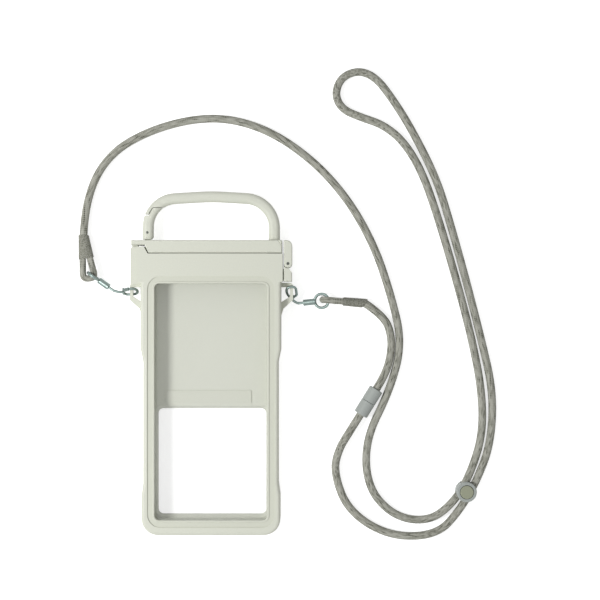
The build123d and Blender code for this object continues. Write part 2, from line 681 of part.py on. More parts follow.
def latch_bracket():
    """The block on the case's side whose tongue carries the latch's pin."""
    seam = UPPER_RIGHT_X + BRACKET_RABBET
    right = LATCH_X + LATCH_R - BRACKET_INSET
    top = LATCH_Y
    z0 = LATCH_FACE_Z
    z1 = CASE_THICKNESS - LATCH_FACE_Z
    body = block(seam, right, BRACKET_FOOT_Y, top, z0, z1)
    body = fillet(body.faces().filter_by(Axis.Z).edges(), LID_ROUND)
    body -= disc(LATCH_X, LATCH_Y, 0, FORK_Z0 + FORK_GAP, LATCH_R + PLUG_CLEARANCE)
    body -= disc(LATCH_X, LATCH_Y, FORK_Z1 - FORK_GAP, CASE_THICKNESS, LATCH_R + PLUG_CLEARANCE)
    bevel_x = LATCH_X + BRACKET_BEVEL_X
    bevel_y = LATCH_Y - LATCH_R - BRACKET_BEVEL_GAP
    bevel = [
        (bevel_x, bevel_y), (bevel_x, top + 1),
        (right + 1, top + 1), (right + 1, bevel_y - BRACKET_BEVEL),
    ]
    body -= slab(bevel, 0, CASE_THICKNESS)
    body += disc(LATCH_X, LATCH_Y, MID_Z - KNUCKLE_HALF, MID_Z + KNUCKLE_HALF, LATCH_R - TONGUE_INSET)
    seat_foot = BRACKET_FOOT_Y + BRACKET_SEAT_INSET
    seat_top = top - LATCH_R - BRACKET_SEAT_INSET
    seat_low = MID_Z - BRACKET_SEAT_HALF
    seat_high = MID_Z + BRACKET_SEAT_HALF
    body += block(UPPER_RIGHT_X, seam + 1, seat_foot, seat_top, seat_low, seat_high)
    return body - disc(LATCH_X, LATCH_Y, 0, CASE_THICKNESS, LATCH_PIN_R)


def latch_pin():
    """The pin seen on the latch's face."""
    inset = LATCH_FACE_Z + LATCH_PIN_INSET
    return disc(LATCH_X, LATCH_Y, inset, CASE_THICKNESS - inset, LATCH_PIN_R)


def handle_tube():
    """The whole handle before it is split into the bow and the gate."""
    route = FilletPolyline(
        (HANDLE_LEFT_X, LID_TOP_Y, MID_Z),
        (HANDLE_LEFT_X, HANDLE_CORNER_Y, MID_Z),
        ((HANDLE_LEFT_X + HANDLE_RIGHT_X) / 2, HANDLE_CROWN_Y, MID_Z),
        (HANDLE_RIGHT_X, HANDLE_CORNER_Y, MID_Z),
        (HANDLE_RIGHT_X, LID_TOP_Y, MID_Z),
        radius=[HANDLE_LEFT_R, HANDLE_CROWN_R, HANDLE_RIGHT_R],
    )
    start = Plane(origin=route @ 0, x_dir=(1, 0, 0), z_dir=route % 0)
    return sweep(start * RectangleRounded(HANDLE_WIDTH, HANDLE_DEPTH, HANDLE_ROUND), route)


def gate_region(seam, shelf):
    """The region below the stepped joint between gate and bow, lowered by the seam and the shelf gap."""
    far = HANDLE_LEFT_X - HANDLE_WIDTH
    near = HANDLE_LEFT_X + HANDLE_LEFT_R
    outline = [
        (far, LID_TOP_Y - 5),
        (far, GATE_SHELF_Y - shelf),
        (GATE_NOTCH_X + seam, GATE_SHELF_Y - shelf),
        (GATE_NOTCH_X + GATE_NOTCH_RUN + seam, GATE_NOTCH_TOP_Y - seam),
        (near, GATE_NOTCH_TOP_Y - seam),
        (near, LID_TOP_Y - 5),
    ]
    return slab(outline, 0, CASE_THICKNESS)


def handle_bow():
    """The fixed part of the handle, which stands on the lid's right end."""
    return handle_tube() - gate_region(0, 0)


def handle_gate():
    """The handle's left leg, which turns inwards on its pin."""
    gate = handle_tube() & gate_region(GATE_SEAM, GATE_SHELF_GAP)
    foot = LID_TOP_Y + GATE_FOOT_GAP
    outer = HANDLE_LEFT_X - HANDLE_WIDTH
    inner = HANDLE_LEFT_X + HANDLE_WIDTH / 2
    gate -= block(outer, inner + 1, LID_TOP_Y - 1, foot, 0, CASE_THICKNESS)
    bite = [(inner - GATE_BITE, foot), (inner, foot), (inner, foot + GATE_BITE)]
    gate -= slab(bite, 0, CASE_THICKNESS)
    z0 = MID_Z - POST_HALF_THICKNESS - POST_CLEARANCE
    z1 = MID_Z + POST_HALF_THICKNESS + POST_CLEARANCE
    reach = POST_HALF_WIDTH + POST_CLEARANCE
    slot = block(GATE_PIN_X - reach, inner + 1, LID_TOP_Y - 1, GATE_PIN_Y, z0, z1)
    slot += disc(GATE_PIN_X, GATE_PIN_Y, z0, z1, reach)
    slot += block(GATE_PIN_X, inner + 1, GATE_PIN_Y - 1, GATE_PIN_Y + reach, z0, z1)
    gate -= slot
    return gate - disc(GATE_PIN_X, GATE_PIN_Y, 0, CASE_THICKNESS, GATE_PIN_R)


def gate_pin():
    """The pin seen on the gate's face."""
    half = HANDLE_DEPTH / 2 - GATE_PIN_INSET
    return disc(GATE_PIN_X, GATE_PIN_Y, MID_Z - half, MID_Z + half, GATE_PIN_R)


def heading(angle, rise):
    """A direction from its compass angle in the XY plane and its rise above it, in degrees."""
    flat = cos(radians(rise))
    return Vector(flat * cos(radians(angle)), flat * sin(radians(angle)), sin(radians(rise)))


class Hook:
    """Where one snap hook lies, and the way its loop, stem and barrel point."""

    def __init__(self, side, tip, loop, stem, barrel, tilt, eye_upright):
        out, up, forward = tip
        tip_at = Vector(side * (TOP_HALF_WIDTH + out), LUG_HOLE_TOP_Y + up, MID_Z + forward)
        self.along = heading(*loop)
        self.barrel_along = heading(*barrel)
        self.bend_at = tip_at - self.along * HOOK_LENGTH
        self.stem_at = self.bend_at - heading(*stem) * HOOK_STEM
        beside = Vector(-self.along.Y, self.along.X, 0).normalized()
        lean = radians(tilt)
        self.over = (self.along.cross(beside) * cos(lean) + beside * sin(lean)).normalized()
        self.across = self.along.cross(self.over).normalized()
        self.face = self.stem_at - self.barrel_along * HOOK_STEM
        self.barrel_end = self.face - self.barrel_along * BARREL_LENGTH
        self.eye = self.barrel_end - self.barrel_along * (EYE_R - EYE_SINK)
        self.far_wire = self.eye - self.barrel_along * EYE_R
        flat_side = Vector(-self.barrel_along.Y, self.barrel_along.X, 0).normalized()
        self.eye_normal = flat_side if eye_upright else self.barrel_along.cross(flat_side)

    def at(self, u, v):
        """A point of the hook's loop: u from the bend towards the tip, v across it."""
        return self.bend_at + self.along * u + self.over * v


LEFT = Hook(**LEFT_HOOK)
RIGHT = Hook(**RIGHT_HOOK)


def snap_hook(hook):
    """The bent wire hook, with the swivel head that turns inside the barrel."""
    half = HOOK_HALF_WIDTH - HOOK_WIRE / 2
    end = HOOK_LENGTH - HOOK_WIRE / 2
    start = hook.face - hook.barrel_along * (BARREL_LENGTH * 0.45)
    route = FilletPolyline(
        start,
        hook.stem_at,
        hook.bend_at,
        hook.at(HOOK_NECK, 0),
        hook.at(HOOK_SHOULDER, -half),
        hook.at(end, -half),
        hook.at(end, half),
        hook.at(end - HOOK_NOSE, half),
        radius=[*HOOK_BENDS, half * 0.95, half * 0.95],
    )
    head_plane = Plane(origin=start, z_dir=hook.barrel_along)
    head = head_plane * Pos(0, 0, SWIVEL_HEAD / 2) * Cylinder(SWIVEL_HEAD_R, SWIVEL_HEAD)
    return tube(route, HOOK_WIRE / 2) + head + hook_ears(hook)


def swivel_eye(hook):
    """The cast ring and barrel that the cord's loop is tied to."""
    ring_plane = Plane(origin=hook.eye, x_dir=hook.barrel_along, z_dir=hook.eye_normal)
    ring = ring_plane * Torus(EYE_R, EYE_WIRE_R)
    barrel_plane = Plane(origin=hook.barrel_end, z_dir=hook.barrel_along)
    barrel = barrel_plane * Pos(0, 0, BARREL_LENGTH / 2) * Cylinder(BARREL_R, BARREL_LENGTH)
    room_start = BARREL_LENGTH * 0.55 - SWIVEL_CLEARANCE
    room_length = SWIVEL_HEAD + 2 * SWIVEL_CLEARANCE
    room = barrel_plane * Pos(0, 0, room_start + room_length / 2) * Cylinder(
        SWIVEL_HEAD_R + SWIVEL_CLEARANCE, room_length
    )
    bore_length = BARREL_LENGTH - room_start + 1
    bore = barrel_plane * Pos(0, 0, room_start + bore_length / 2) * Cylinder(
        HOOK_WIRE / 2 + SWIVEL_CLEARANCE, bore_length
    )
    return ring + barrel - room - bore


def hook_gate(hook):
    """The flat sprung gate that closes the hook."""
    pivot = hook.at(*HOOK_GATE_PIVOT)
    tip_u = HOOK_LENGTH - HOOK_WIRE / 2 - HOOK_NOSE - HOOK_GATE_GAP
    tip = hook.at(tip_u, HOOK_HALF_WIDTH - HOOK_WIRE / 2)
    length = (tip - pivot).length
    bar = Pos(length / 2, 0, 0) * Box(length, HOOK_GATE_THICKNESS, HOOK_GATE_WIDTH)
    bar += Cylinder(HOOK_GATE_THICKNESS / 2, HOOK_GATE_WIDTH)
    bar -= Cylinder(HOOK_GATE_PIN_R + PIN_CLEARANCE, HOOK_GATE_WIDTH + 1)
    return Plane(origin=pivot, x_dir=tip - pivot, z_dir=hook.across) * bar


def hook_ears(hook):
    """The two small ears and the rivet that carry the hook's gate on its stem."""
    ear_z = HOOK_GATE_WIDTH / 2 + EAR_GAP + EAR_THICKNESS / 2
    span = 2 * ear_z + EAR_THICKNESS
    lip = HOOK_GATE_THICKNESS / 2
    depth = HOOK_GATE_PIVOT[1] + EAR_DEPTH
    ears = Part()
    for sign in (-1, 1):
        ears += Pos(0, (lip - depth) / 2, sign * ear_z) * Box(2 * lip, lip + depth, EAR_THICKNESS)
    bridge_top = -lip - EAR_BRIDGE_GAP
    ears += Pos(0, (bridge_top - depth) / 2, 0) * Box(2 * lip, depth + bridge_top, span)
    ears += Cylinder(HOOK_GATE_PIN_R, span)
    return Plane(origin=hook.at(*HOOK_GATE_PIVOT), x_dir=hook.along, z_dir=hook.across) * ears


def end_loop(hook, plane, leg_length):
    """The doubled cord end round the ring, in the plane given: x along the legs, y across them."""
    bend = FilletPolyline(
        (leg_length, -LOOP_NECK_HALF, 0),
        (-LOOP_HALF, -LOOP_HALF, 0),
        (-LOOP_HALF, LOOP_HALF, 0),
        (leg_length, LOOP_NECK_HALF, 0),
        radius=LOOP_HALF * 0.9,
    )
    return plane * tube(bend, LOOP_D / 2)


def left_loop_plane():
    """The left loop lies flat, its legs pointing to the cord's first point."""
    away = Vector(CORD_ROUTE[0][0] - LEFT.far_wire.X, CORD_ROUTE[0][1] - LEFT.far_wire.Y, 0).normalized()
    return Plane(origin=LEFT.far_wire, x_dir=away, z_dir=(0, 0, 1))


def right_loop_plane():
    """The right loop stands upright, one leg above the ring and one below."""
    away = Vector(
        SHORT_ROUTE[-1][0] - RIGHT.far_wire.X, SHORT_ROUTE[-1][1] - RIGHT.far_wire.Y, 0
    ).normalized()
    return Plane(origin=RIGHT.far_wire, x_dir=away, z_dir=away.cross(Vector(0, 0, 1)))


def whipping(plane, leg_length, end, arrival):
    """The bound sleeve over the loop's neck, from the two legs down to the single cord."""
    wide = 2 * LOOP_NECK_HALF + LOOP_D + 2 * WHIP_WALL
    thick = LOOP_D + 2 * WHIP_WALL
    neck = plane * Pos(leg_length, 0, 0) * (Rot(0, 90, 0) * Rot(0, 0, 90) * Ellipse(wide / 2, thick / 2))
    tail = Plane(origin=end, x_dir=plane.y_dir, z_dir=arrival) * Circle(WHIP_END_D / 2)
    return loft([neck, tail])


def route_tube(points, diameter):
    """A cord along straight runs joined by arcs that are as large as the runs allow."""
    radii = []
    for before, here, after in zip(points, points[1:], points[2:]):
        arriving = Vector(*here) - Vector(*before)
        leaving = Vector(*after) - Vector(*here)
        turn = arriving.get_angle(leaving)
        shorter = min(arriving.length, leaving.length)
        radii.append(TURN_SHARE * shorter / tan(radians(turn / 2)))
    path = FilletPolyline(*points, radius=radii)
    print("cord radii", [round(r) for r in radii], "length", round(path.length, 1))
    return tube(path, diameter / 2)


BUCKLE_LOW = Vector(*CORD_ROUTE[-1])
BUCKLE_HIGH = Vector(*SHORT_ROUTE[0])
BUCKLE_AXIS = (BUCKLE_HIGH - BUCKLE_LOW).normalized()


def buckle_half(tongue):
    """One half of the safety buckle, either with the tongue or with its socket."""
    half = ((BUCKLE_HIGH - BUCKLE_LOW).length - BUCKLE_SEAM) / 2
    origin = BUCKLE_LOW if tongue else BUCKLE_HIGH
    direction = BUCKLE_AXIS if tongue else BUCKLE_AXIS * -1
    frame = Plane(origin=origin, z_dir=direction)
    body = Pos(0, 0, half / 2) * Cylinder(BUCKLE_R, half)
    outer = body.faces().sort_by(Axis.Z)[0]
    body = fillet(outer.edges(), BUCKLE_EDGE)
    if tongue:
        tongue_middle = half + (BUCKLE_TONGUE - BUCKLE_LAP) / 2
        body += Pos(0, 0, tongue_middle) * Cylinder(BUCKLE_TONGUE_R, BUCKLE_TONGUE + BUCKLE_LAP)
    else:
        room = BUCKLE_TONGUE + BUCKLE_ROOM
        body -= Pos(0, 0, half - room / 2 + 0.5) * Cylinder(BUCKLE_TONGUE_R + BUCKLE_CLEARANCE, room + 1)
    return frame * body


def lock_middle():
    """The cord lock's middle, half way between the two strands that pass through it."""
    start, end = (Vector(*point) for point in LOCK_INNER_RUN)
    far_start, far_end = (Vector(*point) for point in LOCK_OUTER_RUN)
    run = end - start
    return (start + end + far_start + far_end) / 4, degrees(atan2(run.Y, run.X))


LOCK_MIDDLE, LOCK_ANGLE = lock_middle()
LOCK_PLACE = Pos(LOCK_MIDDLE.X, LOCK_MIDDLE.Y, 0) * Rot(0, 0, LOCK_ANGLE)
LOCK_WELL_Z = LOCK_FLOOR + LOCK_PASSAGE_HEIGHT + LOCK_ROOF


def lock_body():
    """The round housing that both strands pass through."""
    body = Pos(0, 0, LOCK_HEIGHT / 2) * Cylinder(LOCK_R, LOCK_HEIGHT)
    body = fillet(body.faces().sort_by(Axis.Z)[-1].edges(), LOCK_EDGE)
    middle = LOCK_FLOOR + LOCK_PASSAGE_HEIGHT / 2
    body -= Pos(0, 0, middle) * Box(3 * LOCK_R, 2 * LOCK_PASSAGE_HALF, LOCK_PASSAGE_HEIGHT)
    well = LOCK_HEIGHT - LOCK_WELL_Z + 1
    body -= Pos(0, 0, LOCK_WELL_Z + well / 2) * Cylinder(BUTTON_R + BUTTON_GAP, well)
    return LOCK_PLACE * body


def lock_button():
    """The round button pressed to free the cord."""
    button = Pos(0, 0, BUTTON_TOP - BUTTON_HEIGHT / 2) * Cylinder(BUTTON_R, BUTTON_HEIGHT)
    return LOCK_PLACE * fillet(button.faces().sort_by(Axis.Z)[-1].edges(), BUTTON_EDGE)


def lock_spring():
    """The spring under the button."""
    foot = LOCK_WELL_Z + SPRING_WIRE / 2 + SPRING_SEAT_GAP
    height = BUTTON_TOP - BUTTON_HEIGHT - SPRING_WIRE / 2 - SPRING_SEAT_GAP - foot
    helix = Helix(pitch=height / SPRING_TURNS, height=height, radius=SPRING_R)
    return LOCK_PLACE * Pos(0, 0, foot) * tube(helix, SPRING_WIRE / 2)


def parts():
    """Every node of the case and its lanyard, by name."""
    left_plane = left_loop_plane()
    right_plane = right_loop_plane()
    left_end = Vector(*CORD_ROUTE[0])
    right_end = Vector(*SHORT_ROUTE[-1])
    left_leave = (Vector(*CORD_ROUTE[1]) - left_end).normalized()
    right_leave = (Vector(*SHORT_ROUTE[-2]) - right_end).normalized()
    return {
        "front_frame": front_frame(),
        "back_frame": back_frame(),
        "frame_seal": frame_seal(),
        "front_bezel": front_bezel(),
        "front_window_gasket": front_ring(FILM_LAP, GASKET_Z, BEZEL_Z, WINDOW_R + FILM_LAP),
        "front_window": front_window(),
        "back_window": back_window(),
        "back_bezel": back_bezel(),
        "back_pad": back_pad(),
        "lid": lid(),
        "lid_seal": lid_seal(),
        "hinge_pin": hinge_pin(),
        "latch_lever": latch_lever(),
        "latch_bracket": latch_bracket(),
        "latch_pin": latch_pin(),
        "handle_bow": handle_bow(),
        "handle_gate": handle_gate(),
        "gate_pin": gate_pin(),
        "left_hook": snap_hook(LEFT),
        "left_hook_gate": hook_gate(LEFT),
        "left_swivel_eye": swivel_eye(LEFT),
        "right_hook": snap_hook(RIGHT),
        "right_hook_gate": hook_gate(RIGHT),
        "right_swivel_eye": swivel_eye(RIGHT),
        "left_end_loop": end_loop(LEFT, left_plane, LOOP_LEG),
        "right_end_loop": end_loop(RIGHT, right_plane, LOOP_LEG),
        "left_whipping": whipping(left_plane, LOOP_LEG, left_end, left_leave),
        "right_whipping": whipping(right_plane, LOOP_LEG, right_end, right_leave),
        "lanyard_cord": route_tube(CORD_ROUTE, CORD_D),
        "lanyard_short_cord": route_tube(SHORT_ROUTE, CORD_D),
        "buckle_plug": buckle_half(True),
        "buckle_socket": buckle_half(False),
        "lock_body": lock_body(),
        "lock_button": lock_button(),
        "lock_spring": lock_spring(),
    }


for node, shape in parts().items():
    export_step(shape, f"parts/{node}.step")
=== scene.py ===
"""A waterproof phone case and its neck lanyard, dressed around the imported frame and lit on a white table."""
import math

import bpy
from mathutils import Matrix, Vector


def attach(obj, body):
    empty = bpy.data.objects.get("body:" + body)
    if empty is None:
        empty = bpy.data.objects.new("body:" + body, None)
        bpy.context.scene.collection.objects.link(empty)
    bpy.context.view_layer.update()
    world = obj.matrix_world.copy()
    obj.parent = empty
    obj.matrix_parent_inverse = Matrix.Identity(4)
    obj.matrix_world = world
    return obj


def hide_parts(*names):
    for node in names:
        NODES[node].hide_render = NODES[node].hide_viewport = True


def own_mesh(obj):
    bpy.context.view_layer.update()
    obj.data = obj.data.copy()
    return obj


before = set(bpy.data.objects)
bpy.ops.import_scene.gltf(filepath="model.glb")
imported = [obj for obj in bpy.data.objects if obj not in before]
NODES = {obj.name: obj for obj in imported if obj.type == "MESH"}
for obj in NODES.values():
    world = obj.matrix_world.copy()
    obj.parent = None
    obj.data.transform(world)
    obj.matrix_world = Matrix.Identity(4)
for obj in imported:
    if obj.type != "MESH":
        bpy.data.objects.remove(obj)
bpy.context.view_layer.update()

# Camera, straight above the case and its lanyard
CAMERA_X = 0.06694
CAMERA_Y = 0.0660
CAMERA_Z = 1.0
LENS_MM = 78.4
SENSOR_MM = 36.0

# Cord
CORD_D = 0.006
LOOP_D = 0.005
CORD_LENGTH = 1.509
SHORT_LENGTH = 0.076
BRAID_CELL = 0.0050
BRAID_ROUND = 16
BRAID_STITCHES = 5
CURVE_STEPS = 8
CURVE_ORDER = 3
CORD_BEVEL_STEPS = 5

CORD_ROUTE = [
    (-0.0980, 0.1155, 0.0039),
    (-0.0970, 0.1430, 0.0031),
    (-0.0790, 0.1780, 0.0031),
    (-0.0425, 0.1980, 0.0031),
    (0.0010, 0.2065, 0.0031),
    (0.0400, 0.1975, 0.0031),
    (0.0755, 0.1740, 0.0031),
    (0.1030, 0.1440, 0.0031),
    (0.1235, 0.1080, 0.0031),
    (0.1365, 0.0695, 0.0031),
    (0.1450, 0.0330, 0.0031),
    (0.1355, -0.0030, 0.0031),
    (0.1165, -0.0410, 0.0031),
    (0.1185, -0.0775, 0.0031),
    (0.1390, -0.0995, 0.0031),
    (0.1655, -0.1030, 0.0032),
    (0.1845, -0.0880, 0.0043),
    (0.1970, -0.0660, 0.0043),
    (0.2065, -0.0360, 0.0031),
    (0.2055, -0.0015, 0.0031),
    (0.1978, 0.0375, 0.0031),
    (0.1862, 0.0815, 0.0031),
    (0.1735, 0.1250, 0.0031),
    (0.1610, 0.1620, 0.0031),
    (0.1470, 0.1860, 0.0031),
    (0.1310, 0.1995, 0.0031),
    (0.1130, 0.2055, 0.0031),
    (0.0990, 0.2115, 0.0031),
    (0.0934, 0.2230, 0.0031),
    (0.0984, 0.2360, 0.0031),
    (0.1115, 0.2413, 0.0031),
    (0.1250, 0.2358, 0.0031),
    (0.1375, 0.2195, 0.0031),
    (0.1520, 0.1965, 0.0031),
    (0.1710, 0.1590, 0.0031),
    (0.1816, 0.1245, 0.0031),
    (0.1936, 0.0813, 0.0031),
    (0.2048, 0.0378, 0.0031),
    (0.2145, -0.0040, 0.0031),
    (0.2125, -0.0435, 0.0032),
    (0.2022, -0.0705, 0.0043),
    (0.1892, -0.0935, 0.0043),
    (0.1715, -0.1135, 0.0032),
    (0.1350, -0.1145, 0.0031),
    (0.1035, -0.0950, 0.0031),
    (0.0925, -0.0650, 0.0031),
    (0.0965, -0.0475, 0.0040),
    (0.1055, -0.0330, 0.0056),
    (0.1130, -0.0210, 0.0056),
]
SHORT_ROUTE = [
    (0.1250, -0.0018, 0.0056),
    (0.1315, 0.0086, 0.0056),
    (0.1360, 0.0225, 0.0040),
    (0.1370, 0.0380, 0.0031),
    (0.1315, 0.0535, 0.0032),
    (0.1165, 0.0635, 0.0039),
]

# The doubled cord ends: the ring's far wire, the way the legs point and the way they are spread
LEFT_LOOP = (
    Vector((-0.0939, 0.08675, 0.00716)),
    Vector((-0.1412, 0.9900, 0)),
    Vector((-0.9900, -0.1412, 0)),
)
RIGHT_LOOP = (
    Vector((0.08855, 0.06588, 0.00768)),
    Vector((0.9964, -0.0847, 0)),
    Vector((0, 0, 1)),
)
LOOP_SHAPE = [
    (0.0110, -0.0027), (0.0040, -0.0036), (-0.0010, -0.0044), (-0.0044, -0.0034),
    (-0.0044, 0.0034), (-0.0010, 0.0044), (0.0040, 0.0036), (0.0110, 0.0027),
]
LOOP_LEG = 0.011
LOOP_LENGTH = 0.0365

# The bound sleeve over each end
NECK_WIDE = 0.0057
NECK_THICK = 0.0030
TAIL_R = 0.0037
THREAD_R = 0.00033
THREAD_BEVEL_STEPS = 1
BINDING_TURNS = 24
BINDING_STEPS = 16
BINDING_START = 0.02
BINDING_SPAN = 0.96

# Colours, as linear red, green and blue
SHELL = (0.675, 0.690, 0.600)
BEZEL = (0.640, 0.655, 0.565)
PANEL = (0.660, 0.675, 0.590)
SEAL = (0.300, 0.305, 0.270)
FILM = (0.960, 0.970, 0.960)
STEEL = (0.090, 0.095, 0.085)
PLATED = (0.200, 0.250, 0.235)
FITTING = (0.372, 0.400, 0.380)
BUTTON = (0.310, 0.327, 0.236)
CORD_PALE = (0.430, 0.430, 0.378)
CORD_MID = (0.270, 0.272, 0.228)
CORD_DARK = (0.040, 0.042, 0.030)
WHITE = (1.0, 1.0, 1.0)
TABLE_GREY = (0.8, 0.8, 0.8)

# Roughness of each surface
SHELL_ROUGHNESS = 0.5
PANEL_ROUGHNESS = 0.55
BEZEL_ROUGHNESS = 0.45
SEAL_ROUGHNESS = 0.7
FILM_ROUGHNESS = 0.08
PIN_ROUGHNESS = 0.4
HOOK_ROUGHNESS = 0.38
FITTING_ROUGHNESS = 0.5
BUTTON_ROUGHNESS = 0.55
CORD_ROUGHNESS = 0.85
TABLE_ROUGHNESS = 0.9

# Sheen, grain, and the depth of relief in metres
PLASTIC_SHEEN = 0.35
PLASTIC_GRAIN = 900.0
PLASTIC_DARKER = 0.97
PLASTIC_STOPS = [0.35, 0.65]
PLASTIC_RELIEF = 0.05
METALLIC = 0.85
METAL_GRAIN = 420.0
METAL_PALER = 1.25
METAL_STOPS = [0.3, 0.7]
METAL_RELIEF = 0.08
FINE_DEPTH = 0.0001
FILM_ALPHA = 0.05
FILM_GRAIN = 40.0
FILM_DETAIL = 1.0
FILM_RELIEF = 0.05
FILM_DEPTH = 0.0002
CORD_SHEEN = 0.2
HALF_CELL = 0.5
# Painted shade: how much lighter each stitch is drawn at its raised middle than in the groove between
# stitches, following the stitch relief
STITCH_GROOVE_SHADE = 0.6
STITCH_RELIEF = 0.15
BRAID_STOPS = [0.0, 0.3, 1.0]
BRAID_RELIEF = 0.9
BRAID_DEPTH = 0.0006
THREAD_GRAIN = 1400.0
THREAD_STOPS = [0.28, 0.46, 0.66]
THREAD_RELIEF = 0.4
THREAD_DEPTH = 0.0003

# Table and lamps
TABLE_SIZE = 6.0
TABLE_Z = -0.0003
TABLE_GLOW = 0.68
AMBIENT = 0.41
LAMP_TARGET = (0.03, 0.03, 0.0)
KEY_PLACE = (-0.72, -0.02, 1.0)
KEY_SIZE = 0.3
KEY_POWER = 10.0
FILL_PLACE = (0.35, -0.8, 0.95)
FILL_SIZE = 1.2
FILL_POWER = 1.6


def rgba(colour):
    return (*colour, 1.0)


def new_material(name):
    """A material with its own nodes, and those nodes and its shader."""
    material = bpy.data.materials.new(name)
    material.use_nodes = True
    return material, material.node_tree, material.node_tree.nodes["Principled BSDF"]


def add_bump(tree, shader, height, strength, distance):
    """Gives a shader small relief from a height socket."""
    bump = tree.nodes.new("ShaderNodeBump")
    bump.inputs["Strength"].default_value = strength
    bump.inputs["Distance"].default_value = distance
    tree.links.new(height, bump.inputs["Height"])
    tree.links.new(bump.outputs["Normal"], shader.inputs["Normal"])


def grain(tree, scale, detail=3.0):
    """Fine noise over the object's own coordinates."""
    place = tree.nodes.new("ShaderNodeTexCoord")
    noise = tree.nodes.new("ShaderNodeTexNoise")
    noise.inputs["Scale"].default_value = scale
    noise.inputs["Detail"].default_value = detail
    tree.links.new(place.outputs["Object"], noise.inputs["Vector"])
    return noise


def mottled(tree, shader, factor, colours, stops):
    """Colours a shader through a ramp."""
    ramp = tree.nodes.new("ShaderNodeValToRGB")
    while len(ramp.color_ramp.elements) < len(colours):
        ramp.color_ramp.elements.new(0.5)
    for element, colour, stop in zip(ramp.color_ramp.elements, colours, stops):
        element.position = stop
        element.color = rgba(colour)
    tree.links.new(factor, ramp.inputs["Fac"])
    tree.links.new(ramp.outputs["Color"], shader.inputs["Base Color"])


def moulded(name, colour, roughness):
    """A moulded plastic or rubber with a faint satin grain."""
    material, tree, shader = new_material(name)
    shader.inputs["Roughness"].default_value = roughness
    shader.inputs["Specular IOR Level"].default_value = PLASTIC_SHEEN
    noise = grain(tree, PLASTIC_GRAIN)
    darker = tuple(PLASTIC_DARKER * c for c in colour)
    mottled(tree, shader, noise.outputs["Fac"], [darker, colour], PLASTIC_STOPS)
    add_bump(tree, shader, noise.outputs["Fac"], PLASTIC_RELIEF, FINE_DEPTH)
    return material


def metal(name, colour, roughness):
    """A plated or drawn metal with a little unevenness."""
    material, tree, shader = new_material(name)
    shader.inputs["Metallic"].default_value = METALLIC
    shader.inputs["Roughness"].default_value = roughness
    noise = grain(tree, METAL_GRAIN)
    paler = tuple(METAL_PALER * c for c in colour)
    mottled(tree, shader, noise.outputs["Fac"], [colour, paler], METAL_STOPS)
    add_bump(tree, shader, noise.outputs["Fac"], METAL_RELIEF, FINE_DEPTH)
    return material


def clear_film(name):
    """A clear film that only shows a weak sheen."""
    material, tree, shader = new_material(name)
    shader.inputs["Base Color"].default_value = rgba(FILM)
    shader.inputs["Roughness"].default_value = FILM_ROUGHNESS
    shader.inputs["Alpha"].default_value = FILM_ALPHA
    noise = grain(tree, FILM_GRAIN, FILM_DETAIL)
    add_bump(tree, shader, noise.outputs["Fac"], FILM_RELIEF, FILM_DEPTH)
    return material


def calculate(tree, operation, first, second=None):
    """One maths node, whose inputs are sockets or numbers."""
    node = tree.nodes.new("ShaderNodeMath")
    node.operation = operation
    for socket, value in zip(node.inputs, (first, second)):
        if isinstance(value, bpy.types.NodeSocket):
            tree.links.new(value, socket)
        elif value is not None:
            socket.default_value = value
    return node.outputs["Value"]


def braided(name, cells_along, cells_round):
    """Braided cord: crossing strands along a curve's own length, each stitch a little different, with painted
    shade darkening the grooves between stitches.
    """
    material, tree, shader = new_material(name)
    shader.inputs["Roughness"].default_value = CORD_ROUGHNESS
    shader.inputs["Specular IOR Level"].default_value = CORD_SHEEN
    place = tree.nodes.new("ShaderNodeTexCoord")
    split = tree.nodes.new("ShaderNodeSeparateXYZ")
    tree.links.new(place.outputs["UV"], split.inputs["Vector"])
    along = calculate(tree, "MULTIPLY", split.outputs["X"], cells_along)
    around = calculate(tree, "MULTIPLY", split.outputs["Y"], cells_round)
    left_lay = calculate(tree, "ADD", along, around)
    right_lay = calculate(tree, "SUBTRACT", along, around)
    cell = tree.nodes.new("ShaderNodeCombineXYZ")
    tree.links.new(calculate(tree, "FLOOR", left_lay), cell.inputs["X"])
    tree.links.new(calculate(tree, "FLOOR", right_lay), cell.inputs["Y"])
    fleck = tree.nodes.new("ShaderNodeTexWhiteNoise")
    tree.links.new(cell.outputs["Vector"], fleck.inputs["Vector"])
    stitch = calculate(tree, "PINGPONG", calculate(tree, "MULTIPLY", along, BRAID_STITCHES), HALF_CELL)
    # The random flecks are the yarn's own colour; the added stitch term is painted shade, darker in each
    # groove between stitches where the relief dips
    shade = calculate(tree, "ADD", fleck.outputs["Value"], calculate(tree, "MULTIPLY", stitch, STITCH_GROOVE_SHADE))
    mottled(tree, shader, shade, [CORD_DARK, CORD_MID, CORD_PALE], BRAID_STOPS)
    ridge_left = calculate(tree, "PINGPONG", left_lay, HALF_CELL)
    ridge_right = calculate(tree, "PINGPONG", right_lay, HALF_CELL)
    ridges = calculate(tree, "MULTIPLY", ridge_left, ridge_right)
    relief = calculate(tree, "ADD", ridges, calculate(tree, "MULTIPLY", stitch, STITCH_RELIEF))
    add_bump(tree, shader, relief, BRAID_RELIEF, BRAID_DEPTH)
    return material


def fabric(name):
    """Bound thread in the cord's colours."""
    material, tree, shader = new_material(name)
    shader.inputs["Roughness"].default_value = CORD_ROUGHNESS
    shader.inputs["Specular IOR Level"].default_value = CORD_SHEEN
    noise = grain(tree, THREAD_GRAIN)
    colours = [CORD_DARK, CORD_MID, CORD_PALE]
    mottled(tree, shader, noise.outputs["Fac"], colours, THREAD_STOPS)
    add_bump(tree, shader, noise.outputs["Fac"], THREAD_RELIEF, THREAD_DEPTH)
    return material


def paint(material, *names):
    """Gives CAD nodes a material."""
    for name in names:
        data = NODES[name].data
        data.materials.clear()
        data.materials.append(material)


